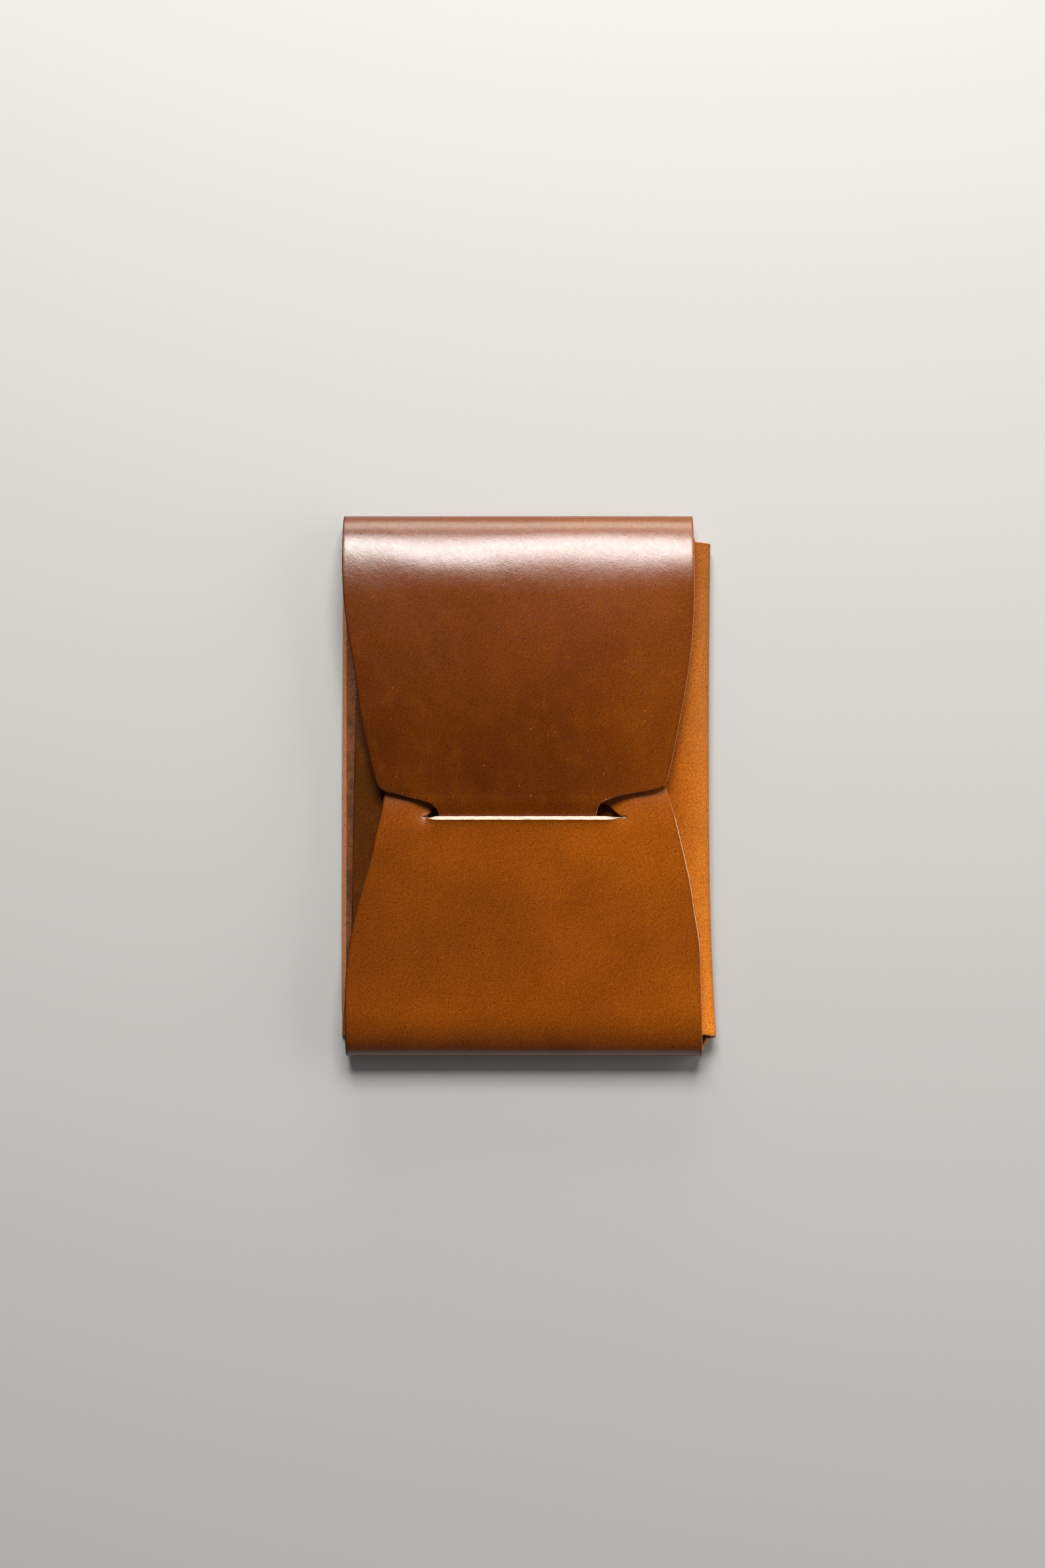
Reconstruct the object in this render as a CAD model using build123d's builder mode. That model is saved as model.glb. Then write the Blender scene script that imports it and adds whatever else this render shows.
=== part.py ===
"""A card holder folded from one die-cut sheet of leather, with no stitching and no hardware.

A back panel carries a wing on its right edge and a flap on each end. The wing folds over the
cards, the bottom flap folds over the wing, and the top flap folds over both. A tab on the top
flap goes down through a slit in the bottom flap and holds everything shut.

Frame: X across, Y towards the top fold, Z up. The holder lies on its back on Z = 0, and the
origin is under its middle. The sheet is cut into one solid per panel and one per fold, and
they meet face to face along the creases.
"""

from build123d import *
import os
from math import cos, radians, sin

os.makedirs("parts", exist_ok=True)

# Driving dimensions, in millimetres and degrees
LENGTH = 101.6  # over both end folds
WIDTH = 70.2  # from the curled left margin to the side fold
LEATHER = 1.1  # thickness of the sheet
POCKET = 4.6  # clear height between the back panel and the wing

# Folds. Each end fold stops short of a half turn, so its flap still rises as it leaves, and
# a long gentle sweep then settles the flap over the layers under it.
END_FOLD_RADIUS = 4.1  # outside of both end folds
SWEEP_RADIUS = 60.0  # outside of both sweeps
TOP_LEAN = 14  # slope of the top flap where it leaves its fold
TOP_SETTLED = 0.8  # and past its sweep
BOTTOM_LEAN = 7
BOTTOM_SETTLED = 2.1
MARGIN_RADIUS = 2.55  # outside of the curl along the back panel's free left edge
MARGIN_TURN = 45  # how far that edge turns up
STRIP_LEFT = -34.6  # left edge of the strip that makes both flaps and their folds

# Wing
WING_LEFT = -33.0  # its free edge
WING_CORNER = 3.0
WING_TOP_GAP = 1.0  # from its top edge to the top crease
WING_BOTTOM_GAP = 0.4  # from its bottom edge to the bottom crease

# Both flaps
TAPER_RADIUS = 60.0  # eases the straight sides into the taper

# Top flap
TOP_TAPER_Y = 34.0  # where its sides would start to taper without that radius
THROAT_HALF = 27.6  # half its width at its lower corners
CORNER_Y = -0.7
FLAP_CORNER = 2.5
FLAP_END_Y = -1.5  # where the tab's neck leaves it
FLAP_END_HEIGHT = 9.3  # its underside there
NECK_DROP = 1.8  # from there to where the lower edge meets the neck's sides

# Closure tab
TAB_X = -2.2  # its middle
NECK_HALF = 14.7
TONGUE_HALF = 16.0
TONGUE_CORNER = 4.0
TAB_BEND_Y = -6.9  # where it flattens out under the bottom flap
TAB_END_Y = -16.0
TAB_REST = 7.0  # underside of its tongue, just over the wing

# Bottom flap
BOTTOM_TAPER_Y = -34.0
BRIDGE_HALF = 26.0  # half the width of its end, hidden under the top flap
BRIDGE_END_Y = 4.2
BRIDGE_CORNER = 4.0
BRIDGE_HEIGHT = 7.1  # underside of that end
SLIT_X = -0.75  # middle of the slit
SLIT_Y = -5.8  # its lower lip
SLIT_LENGTH = 36.7
SLIT_OPEN = 4.2  # how wide the tab holds the slit open, under the top flap
SLIT_CORNER = 0.6
LIP_HEIGHT = 8.6  # underside of the lower lip, lifted by the tab

# Places that follow from them
wing_under = LEATHER + POCKET
side_fold_radius = (wing_under + LEATHER) / 2
side_crease = WIDTH / 2 - side_fold_radius
strip_middle = (side_crease + STRIP_LEFT) / 2
strip_half = (side_crease - STRIP_LEFT) / 2
top_crease = LENGTH / 2 - END_FOLD_RADIUS
bottom_crease = -top_crease
wing_top_edge = top_crease - WING_TOP_GAP
wing_bottom_edge = bottom_crease + WING_BOTTOM_GAP
margin_start = MARGIN_RADIUS * sin(radians(MARGIN_TURN)) - WIDTH / 2
neck_y = FLAP_END_Y - NECK_DROP

# Side views, with their first axis pointing out past the end that each flap folds over
TOP_SIDE = Plane((0, 0, 0), x_dir=(0, 1, 0), z_dir=(1, 0, 0))
BOTTOM_SIDE = Plane((0, 0, 0), x_dir=(0, -1, 0), z_dir=(-1, 0, 0))


def ring_part(middle, outer, start, turn):
    """The outline of a fold: part of a ring, as thick as the sheet."""
    outside = CenterArc(middle, outer, start, turn)
    inside = CenterArc(middle, outer - LEATHER, start, turn)
    Line(outside @ 0, inside @ 0)
    Line(outside @ 1, inside @ 1)


def end_fold_side(lean):
    """The side view of an end fold, which stops lean degrees short of a half turn."""
    middle = (LENGTH / 2 - END_FOLD_RADIUS, END_FOLD_RADIUS)
    ring_part(middle, END_FOLD_RADIUS, -90, 180 - lean)


def flap_side(lean, settled, *under):
    """The side view of a flap: its sweep, then straight runs between points of its underside."""
    start = 90 - lean
    back = SWEEP_RADIUS - END_FOLD_RADIUS
    middle = (
        LENGTH / 2 - END_FOLD_RADIUS - back * cos(radians(start)),
        END_FOLD_RADIUS - back * sin(radians(start)),
    )
    over_sweep = CenterArc(middle, SWEEP_RADIUS, start, lean - settled)
    under_sweep = CenterArc(middle, SWEEP_RADIUS - LEATHER, start, lean - settled)
    over = [(out, z + LEATHER) for out, z in reversed(under)]
    Line(over_sweep @ 0, under_sweep @ 0)
    Polyline(under_sweep @ 1, *under, *over, over_sweep @ 1)


def cut_outline(*corners):
    """The closed outline that a panel is cut to, from (x, y, corner radius)."""
    points = [(x, y) for x, y, _ in corners]
    FilletPolyline(*points, radius=[radius for _, _, radius in corners], close=True)


# The back panel: flat, with its free left edge curled up
with BuildPart() as back_panel:
    with BuildSketch(Plane.XZ.offset(-top_crease)):
        with BuildLine():
            middle = (margin_start, MARGIN_RADIUS)
            under_curl = CenterArc(middle, MARGIN_RADIUS, -90, -MARGIN_TURN)
            over_curl = CenterArc(middle, MARGIN_RADIUS - LEATHER, -90, -MARGIN_TURN)
            Line(under_curl @ 1, over_curl @ 1)
            Polyline(under_curl @ 0, (side_crease, 0), (side_crease, LEATHER), over_curl @ 0)
        make_face()
    extrude(amount=top_crease - bottom_crease)
back_panel.part.label = "back_panel"
export_step(back_panel.part, "parts/back_panel.step")

# The side fold, which joins the back panel to the wing
with BuildPart() as side_fold:
    with BuildSketch(Plane.XZ.offset(-wing_top_edge)):
        with BuildLine():
            ring_part((side_crease, side_fold_radius), side_fold_radius, -90, 180)
        make_face()
    extrude(amount=wing_top_edge - wing_bottom_edge)
side_fold.part.label = "side_fold"
export_step(side_fold.part, "parts/side_fold.step")

# The wing, which covers the cards and is free along its left edge
with BuildPart() as side_wing:
    with BuildSketch(Plane.XY.offset(wing_under)):
        with BuildLine():
            cut_outline(
                (side_crease, wing_bottom_edge, 0),
                (side_crease, wing_top_edge, 0),
                (WING_LEFT, wing_top_edge, WING_CORNER),
                (WING_LEFT, wing_bottom_edge, WING_CORNER),
            )
        make_face()
    extrude(amount=LEATHER)
side_wing.part.label = "side_wing"
export_step(side_wing.part, "parts/side_wing.step")

# The top fold, which joins the back panel to the top flap
with BuildPart() as top_fold:
    with BuildSketch(TOP_SIDE.offset(strip_middle)):
        with BuildLine():
            end_fold_side(TOP_LEAN)
        make_face()
    extrude(amount=strip_half, both=True)
top_fold.part.label = "top_fold"
export_step(top_fold.part, "parts/top_fold.step")

# The top flap: it rises from its fold, tapers to rounded corners, and its lower edge slopes
# from those corners to the tab's neck
with BuildPart() as top_flap:
    with BuildSketch(TOP_SIDE):
        with BuildLine():
            flap_side(
                TOP_LEAN,
                TOP_SETTLED,
                (FLAP_END_Y, FLAP_END_HEIGHT),
                (neck_y, FLAP_END_HEIGHT),
            )
        make_face()
    extrude(amount=WIDTH, both=True)
    with BuildSketch(Plane.XY):
        with BuildLine():
            cut_outline(
                (strip_middle - strip_half, LENGTH / 2, 0),
                (strip_middle - strip_half, TOP_TAPER_Y, TAPER_RADIUS),
                (strip_middle - THROAT_HALF, CORNER_Y, FLAP_CORNER),
                (TAB_X - NECK_HALF, neck_y, 0),
                (TAB_X - NECK_HALF, FLAP_END_Y, 0),
                (TAB_X + NECK_HALF, FLAP_END_Y, 0),
                (TAB_X + NECK_HALF, neck_y, 0),
                (strip_middle + THROAT_HALF, CORNER_Y, FLAP_CORNER),
                (strip_middle + strip_half, TOP_TAPER_Y, TAPER_RADIUS),
                (strip_middle + strip_half, LENGTH / 2, 0),
            )
        make_face()
    extrude(amount=LENGTH, mode=Mode.INTERSECT)
top_flap.part.label = "top_flap"
export_step(top_flap.part, "parts/top_flap.step")

# The closure tab: its neck slopes down through the slit, and its wider tongue lies on the wing
with BuildPart() as closure_tab:
    with BuildSketch(TOP_SIDE):
        with BuildLine():
            Polyline(
                (FLAP_END_Y, FLAP_END_HEIGHT),
                (TAB_BEND_Y, TAB_REST),
                (TAB_END_Y, TAB_REST),
                (TAB_END_Y, TAB_REST + LEATHER),
                (TAB_BEND_Y, TAB_REST + LEATHER),
                (FLAP_END_Y, FLAP_END_HEIGHT + LEATHER),
                close=True,
            )
        make_face()
    extrude(amount=WIDTH, both=True)
    with BuildSketch(Plane.XY):
        with BuildLine():
            cut_outline(
                (TAB_X - NECK_HALF, FLAP_END_Y, 0),
                (TAB_X + NECK_HALF, FLAP_END_Y, 0),
                (TAB_X + NECK_HALF, TAB_BEND_Y, 0),
                (TAB_X + TONGUE_HALF, TAB_BEND_Y - TONGUE_CORNER / 2, 0),
                (TAB_X + TONGUE_HALF, TAB_END_Y, TONGUE_CORNER),
                (TAB_X - TONGUE_HALF, TAB_END_Y, TONGUE_CORNER),
                (TAB_X - TONGUE_HALF, TAB_BEND_Y - TONGUE_CORNER / 2, 0),
                (TAB_X - NECK_HALF, TAB_BEND_Y, 0),
            )
        make_face()
    extrude(amount=LENGTH, mode=Mode.INTERSECT)
closure_tab.part.label = "closure_tab"
export_step(closure_tab.part, "parts/closure_tab.step")

# The bottom fold, which joins the back panel to the bottom flap
with BuildPart() as bottom_fold:
    with BuildSketch(BOTTOM_SIDE.offset(-strip_middle)):
        with BuildLine():
            end_fold_side(BOTTOM_LEAN)
        make_face()
    extrude(amount=strip_half, both=True)
bottom_fold.part.label = "bottom_fold"
export_step(bottom_fold.part, "parts/bottom_fold.step")

# The bottom flap: it rises to the slit, and its end dips again under the top flap
with BuildPart() as bottom_flap:
    with BuildSketch(BOTTOM_SIDE):
        with BuildLine():
            flap_side(
                BOTTOM_LEAN,
                BOTTOM_SETTLED,
                (-SLIT_Y, LIP_HEIGHT),
                (-BRIDGE_END_Y, BRIDGE_HEIGHT),
            )
        make_face()
    extrude(amount=WIDTH, both=True)
    with BuildSketch(Plane.XY):
        with BuildLine():
            cut_outline(
                (strip_middle - strip_half, -LENGTH / 2, 0),
                (strip_middle + strip_half, -LENGTH / 2, 0),
                (strip_middle + strip_half, BOTTOM_TAPER_Y, TAPER_RADIUS),
                (strip_middle + BRIDGE_HALF, BRIDGE_END_Y, BRIDGE_CORNER),
                (strip_middle - BRIDGE_HALF, BRIDGE_END_Y, BRIDGE_CORNER),
                (strip_middle - strip_half, BOTTOM_TAPER_Y, TAPER_RADIUS),
            )
        make_face()
    extrude(amount=LENGTH, mode=Mode.INTERSECT)
    with BuildSketch(Plane.XY):
        with Locations((SLIT_X, SLIT_Y + SLIT_OPEN / 2)):
            RectangleRounded(SLIT_LENGTH, SLIT_OPEN, SLIT_CORNER)
    extrude(amount=LENGTH, mode=Mode.SUBTRACT)
bottom_flap.part.label = "bottom_flap"
export_step(bottom_flap.part, "parts/bottom_flap.step")
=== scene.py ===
"""Looks of the card holder: one sheet of polished tan leather, folded round its own frame.

The sheet is described once, flat: u runs across and v along it, both in millimetres, and both
equal to x and y on the back panel. shape(u, v) folds it, so neighbouring pieces meet exactly,
and every material reads the flat place of a point, so its grain runs on round the folds.
"""

import math

import bpy
import numpy as np
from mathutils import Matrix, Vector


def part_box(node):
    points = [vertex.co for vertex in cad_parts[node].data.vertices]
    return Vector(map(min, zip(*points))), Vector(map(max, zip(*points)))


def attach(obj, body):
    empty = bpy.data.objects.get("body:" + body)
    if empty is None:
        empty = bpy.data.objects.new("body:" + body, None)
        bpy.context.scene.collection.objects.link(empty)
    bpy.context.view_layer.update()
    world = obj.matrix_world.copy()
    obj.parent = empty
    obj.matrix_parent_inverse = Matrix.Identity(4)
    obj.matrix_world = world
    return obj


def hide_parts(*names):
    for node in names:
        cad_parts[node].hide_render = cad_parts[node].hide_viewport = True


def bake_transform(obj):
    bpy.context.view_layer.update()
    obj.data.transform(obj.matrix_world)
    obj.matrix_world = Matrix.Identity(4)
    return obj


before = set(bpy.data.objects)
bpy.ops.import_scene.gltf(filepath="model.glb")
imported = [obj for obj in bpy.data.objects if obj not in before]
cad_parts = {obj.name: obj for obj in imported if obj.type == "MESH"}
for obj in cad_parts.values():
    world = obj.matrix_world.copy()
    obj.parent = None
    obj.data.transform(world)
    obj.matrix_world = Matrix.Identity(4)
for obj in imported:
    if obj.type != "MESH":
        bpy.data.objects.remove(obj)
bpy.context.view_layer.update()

MM = 0.001


def node_box(node):
    """A CAD node's lowest and highest corners, in millimetres."""
    low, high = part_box(node)
    return np.array(low) / MM, np.array(high) / MM


BACK = node_box("back_panel")
WING = node_box("side_wing")
TAB = node_box("closure_tab")
TOP_END = node_box("top_fold")[1][1]
BOTTOM_END = node_box("bottom_fold")[0][1]
HEIGHT = node_box("top_flap")[1][2]
LEATHER = WING[1][2] - WING[0][2]
HALF = LEATHER / 2
RIGHT = node_box("side_fold")[1][0]


# ---------------------------------------------------------------- how the sheet is bent

STEP = 0.05
ARC = np.arange(0, 140, STEP)


def smooth(t):
    """0 before 0, 1 after 1, and an even rise between."""
    t = np.clip(t, 0, 1)
    return t * t * (3 - 2 * t)


def fold_profile(low, reach, high, settled):
    """(out, up) of the sheet's middle along a fold, for every length of ARC.

    The outside is a quarter circle of radius low, then a quarter ellipse reach by high,
    then a line that still climbs by settled.
    """
    a = np.linspace(-math.pi / 2, 0, 300)
    b = np.linspace(0, math.pi / 2, 900)[1:]
    line = np.linspace(0, 110, 1200)[1:]
    out = np.concatenate([low * np.cos(a), low - reach + reach * np.cos(b), low - reach - line])
    up = np.concatenate([low + low * np.sin(a), low + high * np.sin(b), low + high + line * settled])
    d_out, d_up = np.gradient(out), np.gradient(up)
    size = np.hypot(d_out, d_up)
    out, up = out - HALF * d_up / size, up + HALF * d_out / size
    length = np.concatenate([[0], np.cumsum(np.hypot(np.diff(out), np.diff(up)))])
    return np.interp(ARC, length, out), np.interp(ARC, length, up)


LOW = 3.6
SIDE_LOW = 2.9
TOP_CREASE = TOP_END - LOW
BOTTOM_CREASE = BOTTOM_END + LOW
TOP_RUN = fold_profile(LOW, 15.8, HEIGHT - 0.4 - LOW, 0.011)
BOTTOM_RUN = fold_profile(LOW, 9.2, 8.7 - LOW, 0.028)
SIDE_RUN = fold_profile(SIDE_LOW, 6.2, WING[1][2] - SIDE_LOW, 0.0)

SLIT_Y = -5.8
SLIT_LEFT, SLIT_RIGHT = -19.1, 17.6
NECK_LEFT, NECK_RIGHT = -16.95, 12.5


def along(profile, s):
    """(out, up) of a bent profile after the length s."""
    return np.interp(s, ARC, profile[0]), np.interp(s, ARC, profile[1])


def reached(profile, out):
    """The length of a profile, past its outermost place, at which it is out this far."""
    far = int(np.argmax(profile[0]))
    return np.interp(-np.asarray(out, float), -profile[0][far:], ARC[far:])


def top_v(y):
    """The flat v of a place on the top flap."""
    return TOP_CREASE + reached(TOP_RUN, np.asarray(y) - TOP_CREASE)


def bottom_v(y):
    """The flat v of a place on the bottom flap."""
    return BOTTOM_CREASE - reached(BOTTOM_RUN, BOTTOM_CREASE - np.asarray(y))


SIDE_CREASE = RIGHT - SIDE_LOW - 1.2


def side_bulge(y, side):
    """How much further out the side fold reaches: nipped in at the middle, and fuller at the bottom."""
    above = 0.2 * (np.clip(y - 5, 0, None) / 35) ** 2
    below = 1.3 * (np.clip(5 - y, 0, None) / 51) ** 2.6
    return (above + below) * smooth((side + 7) / 7) * smooth((14 - side) / 8)


def ripple(x, y, seed, size):
    """Soft unevenness of hand-worked leather."""
    rng = np.random.default_rng(seed)
    total = 0
    for length in (34.0, 23.0, 15.0, 10.0):
        heading, phase = rng.uniform(0, math.tau, 2)
        wave = (x * math.cos(heading) + y * math.sin(heading)) * math.tau / length
        total = total + np.sin(wave + phase) * length / 34.0
    return total * size


def slit_hold(x):
    """How far the slit is held open: not at all at its ends, fully between."""
    return smooth((x - SLIT_LEFT) / 1.7) * smooth((SLIT_RIGHT - x) / 3.6)


def shape(u, v, lip=0):
    """The middle of the folded sheet at a flat place. lip is -1 below the slit and 1 above it."""
    u, v = np.broadcast_arrays(np.asarray(u, float), np.asarray(v, float))
    top, bottom = np.clip(v - TOP_CREASE, 0, None), np.clip(BOTTOM_CREASE - v, 0, None)
    side = np.clip(u - SIDE_CREASE, 0, None)
    held = np.exp(-(((top + bottom) / 2.5) ** 2))

    # the top fold is turned a little more tightly at its left end than at its right
    crest = 0.35 * np.exp(-(((top - 8.6) / 2.0) ** 2))
    sweep = np.exp(-(((top - 14.5) / 4.5) ** 2))
    top = top + u / 32 * (crest - sweep)
    top_out, top_up = along(TOP_RUN, top)
    bottom_out, bottom_up = along(BOTTOM_RUN, bottom)
    side_out, side_up = along(SIDE_RUN, side)
    y = np.clip(v, BOTTOM_CREASE, TOP_CREASE)
    x = np.minimum(u, SIDE_CREASE) + side_out * held + side * (1 - held)
    x = x + side_bulge(y, u - SIDE_CREASE) * held
    y = y + top_out - bottom_out
    z = top_up + bottom_up - HALF + (side_up - HALF) * held
    on_top, on_bottom = smooth((top - 6) / 8), smooth((bottom - 7) / 6)

    # the back panel's free edge curls up, but not where the end folds hold it
    margin = np.clip(BACK[0][0] + 1.6 - u, 0, None)
    bend = np.maximum(0.5 * smooth((45 - np.abs(v + 1)) / 9), 1e-4)
    on_back = top + bottom < 3
    x = np.where(on_back, x + margin - np.sin(bend * margin) / bend, x)
    z = np.where(on_back, z + (1 - np.cos(bend * margin)) / bend, z)

    # the wing is slightly uneven, and droops a little to its free edge
    on_wing = smooth((side - 9) / 6)
    droop = 0.1 * (np.clip(-12 - x, 0, None) / 21) ** 2
    z = z + on_wing * (ripple(x, y, 5, 0.02) - droop)

    # the flaps hang lower at their sides
    left = np.clip(-16 - x, 0, None) / 18
    right = np.clip(x - 16, 0, None) / 15
    z = z - smooth((top - 16) / 26) * (0.8 * left**2 + 0.5 * right**2)
    z = z - smooth((bottom - 13) / 22) * (0.7 * left**2 + 0.45 * right**2)
    z = z + on_top * ripple(x, y, 11, 0.03) + on_bottom * ripple(x, y, 23, 0.03)
    z = z + np.exp(-(((top - 13) / 8) ** 2)) * ripple(x, y, 31, 0.1)

    # the tab dips from the top flap's neck to pass under the lip
    in_neck = smooth((x - NECK_LEFT + 2.6) / 3) * smooth((NECK_RIGHT + 2.6 - x) / 3)
    z = z - (top > 20) * in_neck * 2.4 * smooth((-2.0 - y) / 7.0)

    # the bottom flap: its end dips under the top flap, and its lip is lifted by the tab
    past = np.clip(y - SLIT_Y + 3, 0, None) * (bottom > 20)
    z = z - 0.014 * past**2
    open_here = slit_hold(x) * (bottom > 20)
    beside = smooth((x - SLIT_LEFT + 3.2) / 3.4) * smooth((SLIT_RIGHT + 2.2 - x) / 4.5) * (bottom > 20)
    hollow = 1 - np.exp(-((np.clip(y - SLIT_Y + 2.6, 0, None) / 3.6) ** 2))
    over = np.exp(-((np.clip(y - SLIT_Y, 0, None) / 4.0) ** 2))
    z = z - 1.1 * beside * (1 - open_here) * hollow * over
    if lip < 0:
        below = np.clip(SLIT_Y - y, -0.1, None)
        z = z + 0.75 * open_here * np.exp(-below / 0.95)
    if lip > 0:
        z = z - 1.6 * open_here * over
        y = y + 2.5 * open_here * over
    return np.stack([x, y, z], axis=-1)


def flesh_side(u, v, lip=0):
    """Unit normals on the flesh side, from the shape itself."""
    d = 0.02
    over_u = shape(u + d, v, lip) - shape(u - d, v, lip)
    over_v = shape(u, v + d, lip) - shape(u, v - d, lip)
    n = np.cross(over_u, over_v)
    return n / np.linalg.norm(n, axis=-1, keepdims=True)


# ---------------------------------------------------------------- flat outlines and grids

def spline(knots, points, at):
    """A smooth curve through points."""
    h = np.diff(knots)[:, None]
    d = np.diff(points, axis=0) / h
    m = np.concatenate([d[:1], (d[:-1] * h[1:] + d[1:] * h[:-1]) / (h[:-1] + h[1:]), d[-1:]])
    k = np.clip(np.searchsorted(knots, at, side="right") - 1, 0, len(knots) - 2)
    t = ((at - knots[k]) / h[k, 0])[:, None]
    a, b = points[k], points[k + 1]
    return (
        a * (1 + 2 * t) * (1 - t) ** 2
        + b * t * t * (3 - 2 * t)
        + h[k] * (m[k] * t * (1 - t) ** 2 - m[k + 1] * t * t * (1 - t))
    )


def spread(width, fine=0.6, coarse=0.8):
    """Fractions from 0 to 1, a little closer together at both ends."""
    steps, step, half = [0.0], fine, width / 2
    while steps[-1] < half - step / 2:
        steps.append(steps[-1] + step)
        step = min(step * 1.25, coarse)
    near = np.array(steps) / steps[-1] / 2
    return np.concatenate([near, 1 - near[-2::-1]])


def ruled(stations, gap=0.6):
    """A grid of flat places between two outlines, given as pairs of facing points."""
    pairs = np.array(stations, float).reshape(len(stations), 4)
    leap = np.maximum(
        np.hypot(*np.diff(pairs[:, :2], axis=0).T), np.hypot(*np.diff(pairs[:, 2:], axis=0).T)
    )
    knots = np.concatenate([[0], np.cumsum(leap)])
    spans = [
        np.linspace(a, b, max(1, math.ceil((b - a) / gap)), endpoint=False)
        for a, b in zip(knots, knots[1:])
    ]
    at = np.concatenate(spans + [knots[-1:]])
    rows = spline(knots, pairs, at)
    width = np.hypot(*(pairs[len(pairs) // 2, 2:] - pairs[len(pairs) // 2, :2]))
    f = spread(width)[None, :, None]
    return rows[:, None, :2] * (1 - f) + rows[:, None, 2:] * f


def seen(to_v, *pairs):
    """Stations from places as seen on a flap: (left x, left y, right x, right y)."""
    return [(a, float(to_v(b)), c, float(to_v(d))) for a, b, c, d in pairs]


TOP_MIDDLE = float(top_v(TOP_END - HALF - 1e-3))
BOTTOM_MIDDLE = float(bottom_v(BOTTOM_END + HALF + 1e-3))
MARGIN = BACK[0][0] - 0.35

TOP_GRID = ruled(
    [(MARGIN + 0.3, TOP_CREASE, 30.9, TOP_CREASE), (MARGIN + 0.6, TOP_MIDDLE, 30.75, TOP_MIDDLE)]
    + seen(
        top_v,
        (-34.8, 47.0, 30.7, 47.3),
        (-34.75, 40.4, 30.7, 40.4),
        (-34.1, 31.4, 30.55, 31.4),
        (-32.7, 23.0, 29.8, 23.0),
        (-31.3, 13.4, 28.2, 13.4),
        (-29.9, 6.5, 26.85, 6.5),
        (-28.9, 2.3, 25.85, 1.9),
        (-28.35, 0.5, 25.45, 0.7),
        (-27.6, -0.55, 24.8, 0.0),
        (-26.6, -1.15, 23.8, -0.5),
        (-24.5, -1.65, 22.0, -0.95),
        (-22.15, -2.24, 19.4, -1.4),
        (-18.9, -3.2, 14.6, -2.6),
        (-17.9, -3.7, 13.3, -3.25),
        (-17.2, -4.4, 12.75, -3.95),
        (NECK_LEFT, -5.4, NECK_RIGHT, -5.4),
        (NECK_LEFT, -7.6, NECK_RIGHT, -7.6),
        (-18.0, -11.0, 13.6, -11.0),
        (-18.0, -13.0, 13.6, -13.0),
        (-17.0, -15.0, 12.6, -15.0),
        (-14.4, TAB[0][1], 10.0, TAB[0][1]),
    )
)
BOTTOM_GRID = ruled(
    [
        (MARGIN + 0.8, BOTTOM_CREASE, 32.9, BOTTOM_CREASE),
        (MARGIN + 0.85, BOTTOM_CREASE - 0.7, 32.62, BOTTOM_CREASE - 0.7),
        (MARGIN + 0.9, BOTTOM_CREASE - 1.5, 32.5, BOTTOM_CREASE - 1.5),
        (-34.45, BOTTOM_MIDDLE, 32.45, BOTTOM_MIDDLE),
    ]
    + seen(
        bottom_v,
        (-34.35, -44.0, 32.2, -44.0),
        (-34.2, -36.0, 32.0, -36.0),
        (-33.5, -29.1, 31.65, -29.1),
        (-32.3, -23.5, 30.75, -23.5),
        (-30.8, -17.9, 29.9, -17.9),
        (-29.6, -13.7, 29.0, -13.7),
        (-28.55, -8.9, 27.85, -8.9),
        (-27.75, SLIT_Y, 27.1, SLIT_Y),
        (-26.9, -1.46, 25.75, -1.46),
        (-26.5, 0.8, 25.1, 0.8),
        (-25.4, 3.1, 23.9, 3.1),
        (-22.8, 4.2, 21.4, 4.2),
    )
)[::-1]

OUTERMOST = int(np.argmax(SIDE_RUN[0])) + 1
SIDE_TURN = float(np.interp(SIDE_LOW - HALF - 1e-3, SIDE_RUN[0][:OUTERMOST], ARC[:OUTERMOST]))
WING_START = float(reached(SIDE_RUN, -6.5))


def wing_u(x):
    """The flat u of a place on the wing."""
    return SIDE_CREASE + float(reached(SIDE_RUN, x - SIDE_CREASE))


SOUTH, NORTH = WING[0][1], WING[1][1]
WING_GRID = ruled(
    [
        (MARGIN, BOTTOM_CREASE, MARGIN + 0.3, TOP_CREASE),
        (-20, BOTTOM_CREASE, -20, TOP_CREASE),
        (32.7, BOTTOM_CREASE, 30.9, TOP_CREASE),
        (33.1, BOTTOM_CREASE - 0.55, 31.15, TOP_CREASE - 0.55),
        (33.6, BOTTOM_CREASE - 0.45, 31.75, NORTH + 0.1),
        (34.4, BOTTOM_CREASE - 0.2, 32.6, NORTH),
        (36.6, SOUTH - 0.6, 36.0, NORTH - 0.05),
        (39.5, SOUTH - 0.1, 39.0, NORTH),
        (60, SOUTH, 60, NORTH),
        (wing_u(-29.6), SOUTH, wing_u(-28.4), NORTH),
        (wing_u(-31.6), SOUTH + 0.4, wing_u(-30.4), NORTH - 0.4),
        (wing_u(-33.2), SOUTH + 1.8, wing_u(-31.6), NORTH - 1.8),
        (wing_u(-33.6), SOUTH + 3.6, wing_u(-32.0), NORTH - 3.6),
    ]
).swapaxes(0, 1)


# ---------------------------------------------------------------- thick leather from a grid

GRAIN_ROUND, FLESH_ROUND = 0.18, 0.12
FRAY = 0.05  # how ragged the lip of the slit is
UNEVEN = 0.015  # how far a cut wanders
SECTION = (  # (inset, depth below the grain) of the rings round a cut edge
    [
        (GRAIN_ROUND * (1 - math.sin(a)), GRAIN_ROUND * (1 - math.cos(a)))
        for a in (0.0, 0.5, 1.0, math.pi / 2)
    ]
    + [(0.0, 0.5), (0.0, 0.8), (0.0, LEATHER - FLESH_ROUND), (FLESH_ROUND, LEATHER)]
)


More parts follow.
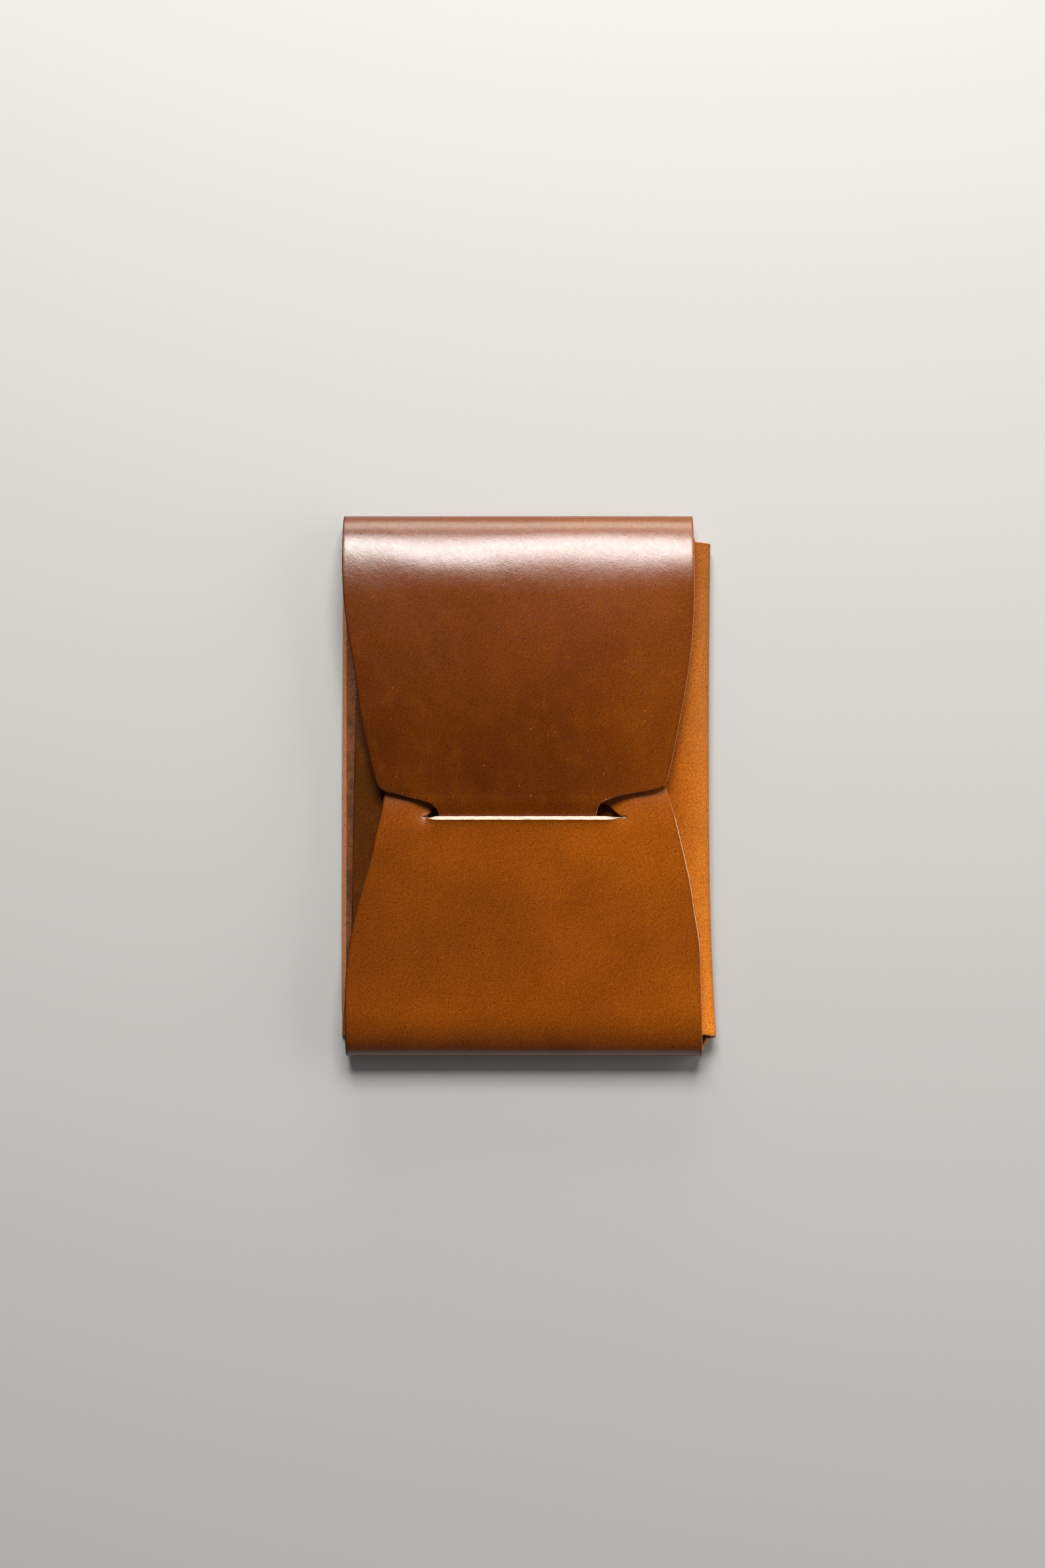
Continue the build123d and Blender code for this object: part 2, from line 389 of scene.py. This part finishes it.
def leather(name, grid, start=False, end=False, left=False, right=False, lip=0, edge_light_level=None):
    """A thick piece of the sheet. The flags say which of its sides, or parts of one, are cut."""
    rows, cols = grid.shape[:2]
    index = np.arange(rows * cols).reshape(rows, cols)
    loop = np.concatenate([index[0, :-1], index[:-1, -1], index[-1, :0:-1], index[:0:-1, 0]])
    cut = np.concatenate([
        np.broadcast_to(start, cols - 1),
        np.broadcast_to(right, rows - 1),
        np.broadcast_to(end, cols - 1)[::-1],
        np.broadcast_to(left, rows - 1)[::-1],
    ]).astype(float)
    flat = grid.reshape(-1, 2)
    outline = flat[loop]
    way = np.roll(outline, -1, axis=0) - outline
    way = np.stack([way[:, 1], -way[:, 0]], axis=1) / np.hypot(*way.T)[:, None] * cut[:, None]
    both = way + np.roll(way, 1, axis=0)
    size = np.hypot(*both.T)
    outward = np.where(size[:, None] > 0, both / np.maximum(size, 1e-9)[:, None], 0)

    walked = outline @ (0.7, 1.0)
    rough = sum(np.sin(walked * wave + 5 * wave**2) for wave in (0.9, 1.7, 3.1, 5.3)) * UNEVEN
    fray = np.random.default_rng(8).normal(0, 1, len(loop)) * FRAY
    fray = fray * (lip < 0) * (outward[:, 1] < -0.9)
    rings = []
    for k, (inset, depth) in enumerate(SECTION):
        q = outline - outward * (inset + np.abs(rough) + fray * (k > 1) * (k < 6))[:, None]
        rings.append((q, np.full(len(loop), depth)))

    # painted light on the cut edges, from 0 to 1: an edge that faces right, or the slit's lip, is set
    # as lit, and one that faces left as shaded; a piece may instead be given one level for all its
    # edges
    edge_light = np.zeros(len(flat))
    if edge_light_level is None:
        edge_light[loop] = 0.3 + 0.5 * outward[:, 0] - (0.6 * outward[:, 1] if lip < 0 else 0)
    else:
        edge_light[loop] = edge_light_level
    top = flat.copy()
    top[loop] = rings[0][0]
    under = flat.copy()
    under[loop] = rings[-1][0]
    places = [top] + [q for q, _ in rings[1:-1]] + [under]
    depths = [np.zeros(len(flat))] + [d for _, d in rings[1:-1]] + [np.full(len(flat), LEATHER)]
    places, depths = np.concatenate(places), np.concatenate(depths)
    middle = shape(places[:, 0], places[:, 1], lip)
    normal = flesh_side(places[:, 0], places[:, 1], lip)
    points = middle + normal * (depths - HALF)[:, None]

    count, size = len(flat), len(loop)
    ring_at = [loop] + [count + k * size + np.arange(size) for k in range(len(SECTION) - 2)]
    flesh = count + (len(SECTION) - 2) * size
    ring_at.append(flesh + loop)
    quads = np.stack([index[:-1, :-1], index[:-1, 1:], index[1:, 1:], index[1:, :-1]], axis=-1)
    quads = quads.reshape(-1, 4)
    faces, kinds = [quads[:, ::-1], quads + flesh], [np.zeros(len(quads)), np.full(len(quads), 2)]
    for k, (a, b) in enumerate(zip(ring_at, ring_at[1:])):
        faces.append(np.stack([a, np.roll(a, -1), np.roll(b, -1), b], axis=1))
        # the arris takes the cut-edge colour where its edge is painted as lit
        kinds.append(np.where((k > 1) | ((k > 0) & (edge_light[loop] > 0.6)), 1, 0))
    faces, kinds = np.concatenate(faces), np.concatenate(kinds)

    mesh = bpy.data.meshes.new(name)
    mesh.from_pydata((points * MM).tolist(), [], faces.tolist())
    mesh.polygons.foreach_set("material_index", kinds.astype(int))
    mesh.polygons.foreach_set("use_smooth", np.ones(len(faces), bool))
    edges = np.zeros(len(mesh.edges) * 2, int)
    mesh.edges.foreach_get("vertices", edges)
    edges = np.sort(edges.reshape(-1, 2), axis=1)
    hard = set()
    joined = cut == 0
    for ring in (ring_at[0], ring_at[-1]):
        ends = np.sort(np.stack([ring, np.roll(ring, -1)], axis=1)[joined], axis=1)
        hard.update(map(tuple, ends.tolist()))
    corner = cut != np.roll(cut, 1)
    for a, b in zip(ring_at, ring_at[1:]):
        hard.update(map(tuple, np.sort(np.stack([a, b], axis=1)[corner], axis=1).tolist()))
    sharp = mesh.attributes.new("sharp_edge", "BOOLEAN", "EDGE")
    sharp.data.foreach_set("value", np.array([tuple(e) in hard for e in edges.tolist()]))

    where = mesh.attributes.new("flat", "FLOAT_VECTOR", "POINT")
    where.data.foreach_set("vector", np.column_stack([places, depths]).ravel())
    lines = outline[(cut > 0) | (np.roll(cut, 1) > 0)]
    if len(lines):
        rim = np.concatenate([
            np.sqrt(((part[:, None] - lines[None]) ** 2).sum(axis=2).min(axis=1))
            for part in np.array_split(places, len(places) // 2000 + 1)
        ])
    else:
        rim = np.full(len(places), 30.0)
    ringed = np.tile(edge_light[loop], len(SECTION) - 2)
    # the painted light of the cut edges, handed on to the materials
    edge_lit = mesh.attributes.new("edge_lit", "FLOAT", "POINT")
    edge_lit.data.foreach_set("value", np.concatenate([edge_light, ringed, edge_light]))
    near = mesh.attributes.new("rim", "FLOAT", "POINT")
    near.data.foreach_set("value", rim)
    mesh.validate()
    piece = bpy.data.objects.new(name, mesh)
    bpy.context.scene.collection.objects.link(piece)
    for material in (GRAIN, EDGE, FLESH):
        mesh.materials.append(material)
    return piece


# ---------------------------------------------------------------- materials

class Nodes:
    """A short way to write a material's nodes."""

    def __init__(self, name):
        self.material = bpy.data.materials.new(name)
        self.material.use_nodes = True
        self.tree = self.material.node_tree
        self.shader = self.tree.nodes["Principled BSDF"]

    def add(self, kind, **settings):
        node = self.tree.nodes.new("ShaderNode" + kind)
        for key, value in settings.items():
            if hasattr(node, key):
                setattr(node, key, value)
            else:
                self.put(node.inputs[key.replace("_", " ")], value)
        return node

    def put(self, socket, value):
        if isinstance(value, bpy.types.NodeSocket):
            self.tree.links.new(value, socket)
        elif isinstance(value, tuple) and socket.type == "RGBA":
            socket.default_value = (*value, 1)
        else:
            socket.default_value = value

    def math(self, operation, *values):
        node = self.add("Math", operation=operation)
        for socket, value in zip(node.inputs, values):
            self.put(socket, value)
        return node.outputs[0]

    def range(self, value, low, high, to_low=0.0, to_high=1.0):
        node = self.add("MapRange")
        for socket, item in zip(node.inputs, (value, low, high, to_low, to_high)):
            self.put(socket, item)
        return node.outputs[0]

    def mix(self, factor, a, b, blend="MIX"):
        node = self.add("Mix", data_type="RGBA", blend_type=blend)
        self.put(node.inputs[0], factor)
        self.put(node.inputs[6], a)
        self.put(node.inputs[7], b)
        return node.outputs[2]

    def place(self, scale=(1, 1, 1), turn=0.0):
        """The flat place of a point, turned and stretched."""
        flat = self.add("Attribute", attribute_name="flat").outputs["Vector"]
        turned = self.add("Mapping", Vector=flat, Rotation=(0, 0, turn)).outputs[0]
        return self.add("Mapping", Vector=turned, Scale=scale).outputs[0]

    def noise(self, vector, scale, detail=3.0, roughness=0.55, distortion=0.0):
        node = self.add(
            "TexNoise",
            Vector=vector,
            Scale=scale,
            Detail=detail,
            Roughness=roughness,
            Distortion=distortion,
        )
        return node.outputs[0]

    def scattered(self, vector, scale):
        """The distance to the nearest of many scattered places."""
        node = self.add("TexVoronoi", Vector=vector, Scale=scale, feature="F1")
        return node.outputs["Distance"]


def linear(r, g, b):
    """A colour as seen, from 0 to 255, as light."""
    return tuple(((c / 255 + 0.055) / 1.055) ** 2.4 if c > 10 else c / 255 / 12.92 for c in (r, g, b))


# painted light and shade across the sheet, over the leather's own colour: the flaps darker at their
# left and brighter at their right, partly their own colour and partly painted light; the side fold
# painted lit and golden; the wing painted shaded next to the flaps and towards its free edge
LEFT_COLOUR_AND_SHADE, WING_PAINTED_SHADE = (112, 51, 6), (88, 46, 14)
COLOUR_AND_PAINTED_LIGHT_ACROSS = (  # (how far over the sheet from left to right, colour)
    (0.515, (138, 66, 9)),
    (0.545, (224, 128, 64)),
    (0.586, (192, 98, 38)),
    (0.629, (138, 72, 12)),
    (0.714, (106, 54, 13)),
)
TOP_END_V = float(top_v(-4.0))
SLIT_V = float(bottom_v(SLIT_Y))
LOW_V = float(bottom_v(-46.0))


def colour_and_painted_light(n, u, v, cloud):
    """The leather's colour, which differs from place to place on the sheet, with painted light and
    shade laid over it.
    """
    # painted light and shade from left to right over the sheet, with the leather's own colour
    across = n.add("ValToRGB")
    n.put(across.inputs[0], n.range(u, -40, 100))
    ramp = across.color_ramp.elements
    ramp[0].position, ramp[1].position = 0.04, 1.0
    ramp[0].color, ramp[1].color = (*linear(*LEFT_COLOUR_AND_SHADE), 1), (*linear(*WING_PAINTED_SHADE), 1)
    for at, colour in COLOUR_AND_PAINTED_LIGHT_ACROSS:
        ramp.new(at).color = (*linear(*colour), 1)
    base = across.outputs[0]

    # darker towards the top flap's end, but not on the tab
    toward_flap_end = n.range(v, TOP_END_V - 42, TOP_END_V - 6)
    toward_flap_end = n.math("MULTIPLY", toward_flap_end, n.range(cloud, 0.3, 0.6, 0.55, 1.0))
    toward_flap_end = n.math("MULTIPLY", toward_flap_end, n.range(u, 6, 26, 1.0, 0.45))
    toward_flap_end = n.math("SUBTRACT", toward_flap_end, n.range(v, TOP_END_V - 3, TOP_END_V + 1))
    base = n.mix(toward_flap_end, base, n.mix(1.0, base, linear(182, 176, 190), "MULTIPLY"))

    # painted light: the bottom flap is brightened, most at the slit and at the lower left
    slit_painted_light = n.range(v, SLIT_V, SLIT_V + 16, 0.55, 0.1)
    bottom_painted_light = n.math("ADD", slit_painted_light, n.range(v, LOW_V + 18, LOW_V, 0.0, 0.45))
    lower_left_painted_light = n.math("MULTIPLY", n.range(v, LOW_V - 14, LOW_V - 2), n.range(u, -32, 0, 0.55, 0.1))
    bottom_painted_light = n.math("ADD", bottom_painted_light, lower_left_painted_light)
    bottom_painted_light = n.math("MULTIPLY", bottom_painted_light, n.range(v, -60, -50, 1.0, 0.0))
    base = n.mix(bottom_painted_light, base, n.mix(1.0, base, (1.85, 1.95, 1.7), "MULTIPLY"))

    # painted light and shade on the side fold: brightened low on it, darkened high on it
    side_light_mask = n.math("MULTIPLY", n.range(u, 33, 35), n.range(u, 48, 60, 1.0, 0.0))
    side_shading = n.range(v, -42, 40, 1.35, 0.62)
    return n.mix(side_light_mask, base, n.mix(1.0, base, side_shading, "MULTIPLY"))


def grain_material():
    n = Nodes("leather_grain")
    flat = n.place()
    u, v = n.add("SeparateXYZ", Vector=flat).outputs[:2]
    rim = n.add("Attribute", attribute_name="rim").outputs["Fac"]

    cloud = n.noise(flat, 0.07, 3, 0.55)
    patch = n.noise(n.place((1, 0.6, 1), 0.5), 0.3, 5, 0.65)
    fibre = n.noise(n.place((1, 0.35, 1), 0.75), 2.6, 4, 0.65, 0.6)
    fine = n.noise(n.place((1, 0.5, 1), 0.8), 4.4, 4, 0.72)
    speck = n.noise(n.place((0.6, 1, 1), -0.5), 10.0, 2, 0.6)
    pore = n.scattered(flat, 0.5)
    fleck = n.scattered(n.place((1, 0.3, 1), -0.5), 0.6)
    hair = n.scattered(n.place((1, 0.16, 1), 0.9), 1.2)

    base = colour_and_painted_light(n, u, v, cloud)
    base = n.mix(n.range(cloud, 0.35, 0.65, 0.0, 0.25), base, linear(92, 36, 2))
    base = n.mix(n.range(patch, 0.5, 0.8, 0.0, 0.16), base, linear(176, 90, 20))
    base = n.mix(n.range(fibre, 0.4, 0.75, 0.0, 0.3), base, linear(82, 31, 2))
    grain = n.range(fine, 0.3, 0.7, 0.5, 1.56)
    grain = n.math("MULTIPLY", grain, n.range(speck, 0.3, 0.7, 0.7, 1.34))
    base = n.mix(1.0, base, grain, "MULTIPLY")
    base = n.mix(n.range(pore, 0.05, 0.1, 0.65, 0.0), base, linear(50, 18, 3))
    base = n.mix(n.range(fleck, 0.02, 0.05, 0.45, 0.0), base, linear(220, 150, 90))
    base = n.mix(n.range(hair, 0.02, 0.05, 0.5, 0.0), base, linear(226, 160, 100))
    base = n.mix(n.range(rim, 0.2, 0.9, 0.2, 0.0), base, linear(80, 32, 4))
    # painted shade: the rims of cut edges are darkened the more they face left
    edge_lit = n.add("Attribute", attribute_name="edge_lit").outputs["Fac"]
    shaded_edge = n.range(rim, 0.08, 0.35, 0.85, 0.0)
    shaded_edge = n.math("MULTIPLY", shaded_edge, n.range(edge_lit, 0.0, 0.5, 1.0, 0.0))
    base = n.mix(shaded_edge, base, linear(46, 18, 3))
    base = n.mix(1.0, base, (0.8, 0.82, 0.35), "MULTIPLY")
    n.put(n.shader.inputs["Base Color"], base)

    # dull at cut edges and on the side fold, a little less so on the top flap
    less = n.math("MULTIPLY", n.range(v, TOP_MIDDLE + 14, TOP_MIDDLE + 26), 0.2)
    rough = n.range(n.noise(flat, 0.8, 5, 0.7), 0.3, 0.7, 0.18, 0.27)
    rough = n.math("MULTIPLY", rough, n.math("SUBTRACT", 1.0, less))
    rough = n.mix(n.range(v, BOTTOM_CREASE, BOTTOM_CREASE - 3), rough, (0.2, 0.2, 0.2))
    dull = n.math("MULTIPLY", n.range(u, 31, 34, 0.0, 0.2), n.range(u, 50, 62, 1.0, 0.0))
    dull = n.math("ADD", n.range(rim, 0.1, 0.5, 0.12, 0.0), dull)
    rough = n.math("ADD", rough, dull)
    rough = n.math("ADD", rough, n.range(fibre, 0.4, 0.7, 0.0, 0.04))
    n.put(n.shader.inputs["Roughness"], rough)
    n.put(n.shader.inputs["IOR"], 1.6)

    # polish: least at cut edges, at the bottom end, on the side fold and low on the flaps
    off_end = n.range(v, BOTTOM_CREASE - 2, BOTTOM_CREASE - 6, 0.4, 1.0)
    off_end = n.math("MAXIMUM", off_end, n.range(v, 0, 10))
    off_side = n.math("MAXIMUM", n.range(u, 31, 34, 1.0, 0.15), n.range(u, 54, 64))
    shine = n.math("MULTIPLY", n.range(rim, 0.15, 0.4, 0.2, 1.0), off_end)
    shine = n.math("MULTIPLY", shine, off_side)
    shine = n.math("MULTIPLY", shine, n.range(v, TOP_MIDDLE + 24, TOP_MIDDLE + 40, 0.5, 0.25))
    shine = n.math("MULTIPLY", shine, n.range(v, BOTTOM_MIDDLE, BOTTOM_MIDDLE - 8, 1.0, 0.65))
    n.put(n.shader.inputs["Specular IOR Level"], shine)

    height = n.math("ADD", n.math("MULTIPLY", fine, 0.02), n.math("MULTIPLY", fibre, 0.012))
    height = n.math("SUBTRACT", height, n.range(pore, 0.02, 0.09, 0.008, 0.0))
    height = n.math("ADD", height, n.math("MULTIPLY", patch, 0.05))
    bump = n.add("Bump", Height=height, Distance=MM, Strength=1.0)
    n.put(n.shader.inputs["Normal"], bump.outputs[0])
    return n.material


def edge_material():
    n = Nodes("leather_cut_edge")
    flat = n.place()
    fibre = n.noise(n.place((1, 1, 3.0)), 2.2, 5, 0.7, 0.6)
    base = n.mix(n.range(fibre, 0.35, 0.7), linear(184, 98, 46), linear(228, 158, 108))
    edge_lit = n.add("Attribute", attribute_name="edge_lit").outputs["Fac"]
    # painted light and shade on the cut edges: the more an edge faces left, the darker it is made, and
    # the slit's lip is made near white
    base = n.mix(n.range(edge_lit, 0.1, 0.8, 0.85, 0.0), base, linear(110, 56, 24))
    base = n.mix(n.range(edge_lit, 0.8, 0.9), base, linear(240, 216, 194))
    n.put(n.shader.inputs["Base Color"], base)
    n.put(n.shader.inputs["Roughness"], 0.8)
    bump = n.add("Bump", Height=n.math("MULTIPLY", fibre, 0.25), Distance=MM)
    n.put(n.shader.inputs["Normal"], bump.outputs[0])
    return n.material


def flesh_material():
    n = Nodes("leather_flesh")
    flat = n.place()
    nap = n.noise(flat, 2.4, 6, 0.72, 0.5)
    base = n.mix(n.range(nap, 0.35, 0.7), linear(120, 64, 26), linear(190, 116, 66))
    base = n.mix(n.range(n.noise(flat, 0.3, 3), 0.4, 0.65, 0.0, 0.6), base, linear(84, 52, 24))
    n.put(n.shader.inputs["Base Color"], base)
    n.put(n.shader.inputs["Roughness"], 0.85)
    bump = n.add("Bump", Height=n.math("MULTIPLY", nap, 0.35), Distance=MM)
    n.put(n.shader.inputs["Normal"], bump.outputs[0])
    return n.material


GRAIN, EDGE, FLESH = grain_material(), edge_material(), flesh_material()


# ---------------------------------------------------------------- the pieces

def row_at(grid, v):
    """The row of a grid that is nearest to v, by its first column."""
    return int(np.argmin(np.abs(grid[:, 0, 1] - v)))


def place_m(u, v):
    """A folded place in metres."""
    return tuple(shape(u, v) * MM)


# where each fold has given way to its flap
TOP_RISE = float(top_v(34.0))
BOTTOM_RISE = float(bottom_v(-41.0))

turn = row_at(TOP_GRID, TOP_MIDDLE)
rise = row_at(TOP_GRID, TOP_RISE)
hide = row_at(TOP_GRID, float(top_v(-7.6)))
fold_low = leather("top_fold_lower", TOP_GRID[: turn + 1], left=True, right=True)
fold_high = leather("top_fold_upper", TOP_GRID[turn : rise + 1], left=True, right=True)
flap = leather("top_flap_leather", TOP_GRID[rise : hide + 1], left=True, right=True)
tab = leather("closure_tab_leather", TOP_GRID[hide:], left=True, right=True, end=True)
place_m(0, TOP_CREASE)
place_m(0, TOP_MIDDLE)
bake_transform(fold_low)
place_m(0, TOP_MIDDLE)
place_m(0, TOP_RISE)
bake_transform(fold_high)
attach(flap, "top_flap")
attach(tab, "top_flap")

turn = row_at(BOTTOM_GRID, BOTTOM_MIDDLE)
rise = row_at(BOTTOM_GRID, BOTTOM_RISE)
slit = row_at(BOTTOM_GRID, SLIT_V)
across = (BOTTOM_GRID[slit, 1:, 0] + BOTTOM_GRID[slit, :-1, 0]) / 2
in_slit = (across > SLIT_LEFT) & (across < SLIT_RIGHT)
low = leather("bottom_fold_lower", BOTTOM_GRID[turn:], left=True, right=True)
high = leather("bottom_fold_upper", BOTTOM_GRID[rise : turn + 1], left=True, right=True)
front = leather(
    "bottom_flap_leather", BOTTOM_GRID[slit : rise + 1], left=True, right=True, start=in_slit, lip=-1
)
bridge = leather(
    "bottom_flap_bridge", BOTTOM_GRID[: slit + 1], left=True, right=True, start=True, end=in_slit, lip=1
)
place_m(0, BOTTOM_CREASE)
place_m(0, BOTTOM_MIDDLE)
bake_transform(low)
place_m(0, BOTTOM_MIDDLE)
place_m(0, BOTTOM_RISE)
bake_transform(high)
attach(front, "bottom_flap")
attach(bridge, "bottom_flap")

middle_row = WING_GRID[WING_GRID.shape[0] // 2, :, 0]
bend = int(np.argmin(np.abs(middle_row - SIDE_CREASE - SIDE_TURN)))
flat_on = int(np.argmin(np.abs(middle_row - SIDE_CREASE - WING_START)))
top_u = (WING_GRID[-1, 1:, 0] + WING_GRID[-1, :-1, 0]) / 2
bottom_u = (WING_GRID[0, 1:, 0] + WING_GRID[0, :-1, 0]) / 2
# the back panel, side fold and wing each get one level of painted light on all their cut edges
back = leather(
    "back_panel_leather",
    WING_GRID[:, : bend + 1],
    left=True,
    start=(bottom_u > 32.8)[:bend],
    end=(top_u > 30.9)[:bend],
    edge_light_level=0.7,
)
side = leather(
    "side_fold_leather", WING_GRID[:, bend : flat_on + 1], start=True, end=True, edge_light_level=0.75
)
wing = leather("side_wing_leather", WING_GRID[:, flat_on:], start=True, end=True, right=True, edge_light_level=0.5)
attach(back, "back")
place_m(SIDE_CREASE + SIDE_TURN, 0)
place_m(SIDE_CREASE + WING_START, 0)
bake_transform(side)
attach(wing, "side_wing")

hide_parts("back_panel")
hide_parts("side_fold")
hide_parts("side_wing")
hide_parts("top_fold")
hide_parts("top_flap")
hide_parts("closure_tab")
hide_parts("bottom_fold")
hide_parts("bottom_flap")


# ---------------------------------------------------------------- floor, light and camera

def soft_light(name, zenith, azimuth, distance, size, watts, colour=(1, 1, 1)):
    """A softbox that faces the object: zenith from straight up, azimuth from north to east."""
    data = bpy.data.lights.new(name, "AREA")
    data.shape, data.size, data.size_y = "RECTANGLE", *size
    data.energy, data.color = watts, colour
    lamp = bpy.data.objects.new(name, data)
    z, a = math.radians(zenith), math.radians(azimuth)
    flat = distance * math.sin(z)
    lamp.location = (flat * math.sin(a), flat * math.cos(a), distance * math.cos(z))
    lamp.rotation_euler = (-z, 0, -a)
    bpy.context.scene.collection.objects.link(lamp)
    return lamp


floor_mesh = bpy.data.meshes.new("floor")
floor_mesh.from_pydata([(-3, -3, 0), (3, -3, 0), (3, 3, 0), (-3, 3, 0)], [], [(0, 1, 2, 3)])
floor = bpy.data.objects.new("floor", floor_mesh)
floor.location.z = -0.05 * MM  # clear of the back panel's underside
bpy.context.scene.collection.objects.link(floor)
paper = Nodes("floor_paper")
paper.put(paper.shader.inputs["Base Color"], linear(190, 189, 187))
paper.put(paper.shader.inputs["Roughness"], 0.9)
floor_mesh.materials.append(paper.material)

soft_light("key", 42, 0, 0.7, (0.36, 0.27), 6.4, (1.0, 1.0, 0.98))
soft_light("fill_right", 66, 80, 0.8, (1.0, 0.6), 3.2, (1.0, 0.98, 0.96))
soft_light("low_north", 78, 0, 0.7, (0.5, 0.25), 2.7, (1.0, 0.96, 0.84))

world = bpy.data.worlds.new("room")
world.use_nodes = True
world.node_tree.nodes["Background"].inputs[0].default_value = (0.9, 0.93, 1.0, 1)
world.node_tree.nodes["Background"].inputs[1].default_value = 0.06
bpy.context.scene.world = world
bpy.context.scene.view_settings.view_transform = "Standard"

camera_data = bpy.data.cameras.new("camera")
camera_data.lens, camera_data.sensor_height, camera_data.sensor_fit = 50, 36, "VERTICAL"
camera_data.clip_start = 0.01
camera = bpy.data.objects.new("camera", camera_data)
camera.location = (-1.25 * MM, 0.4 * MM, 413.5 * MM)
bpy.context.scene.collection.objects.link(camera)
bpy.context.scene.camera = camera
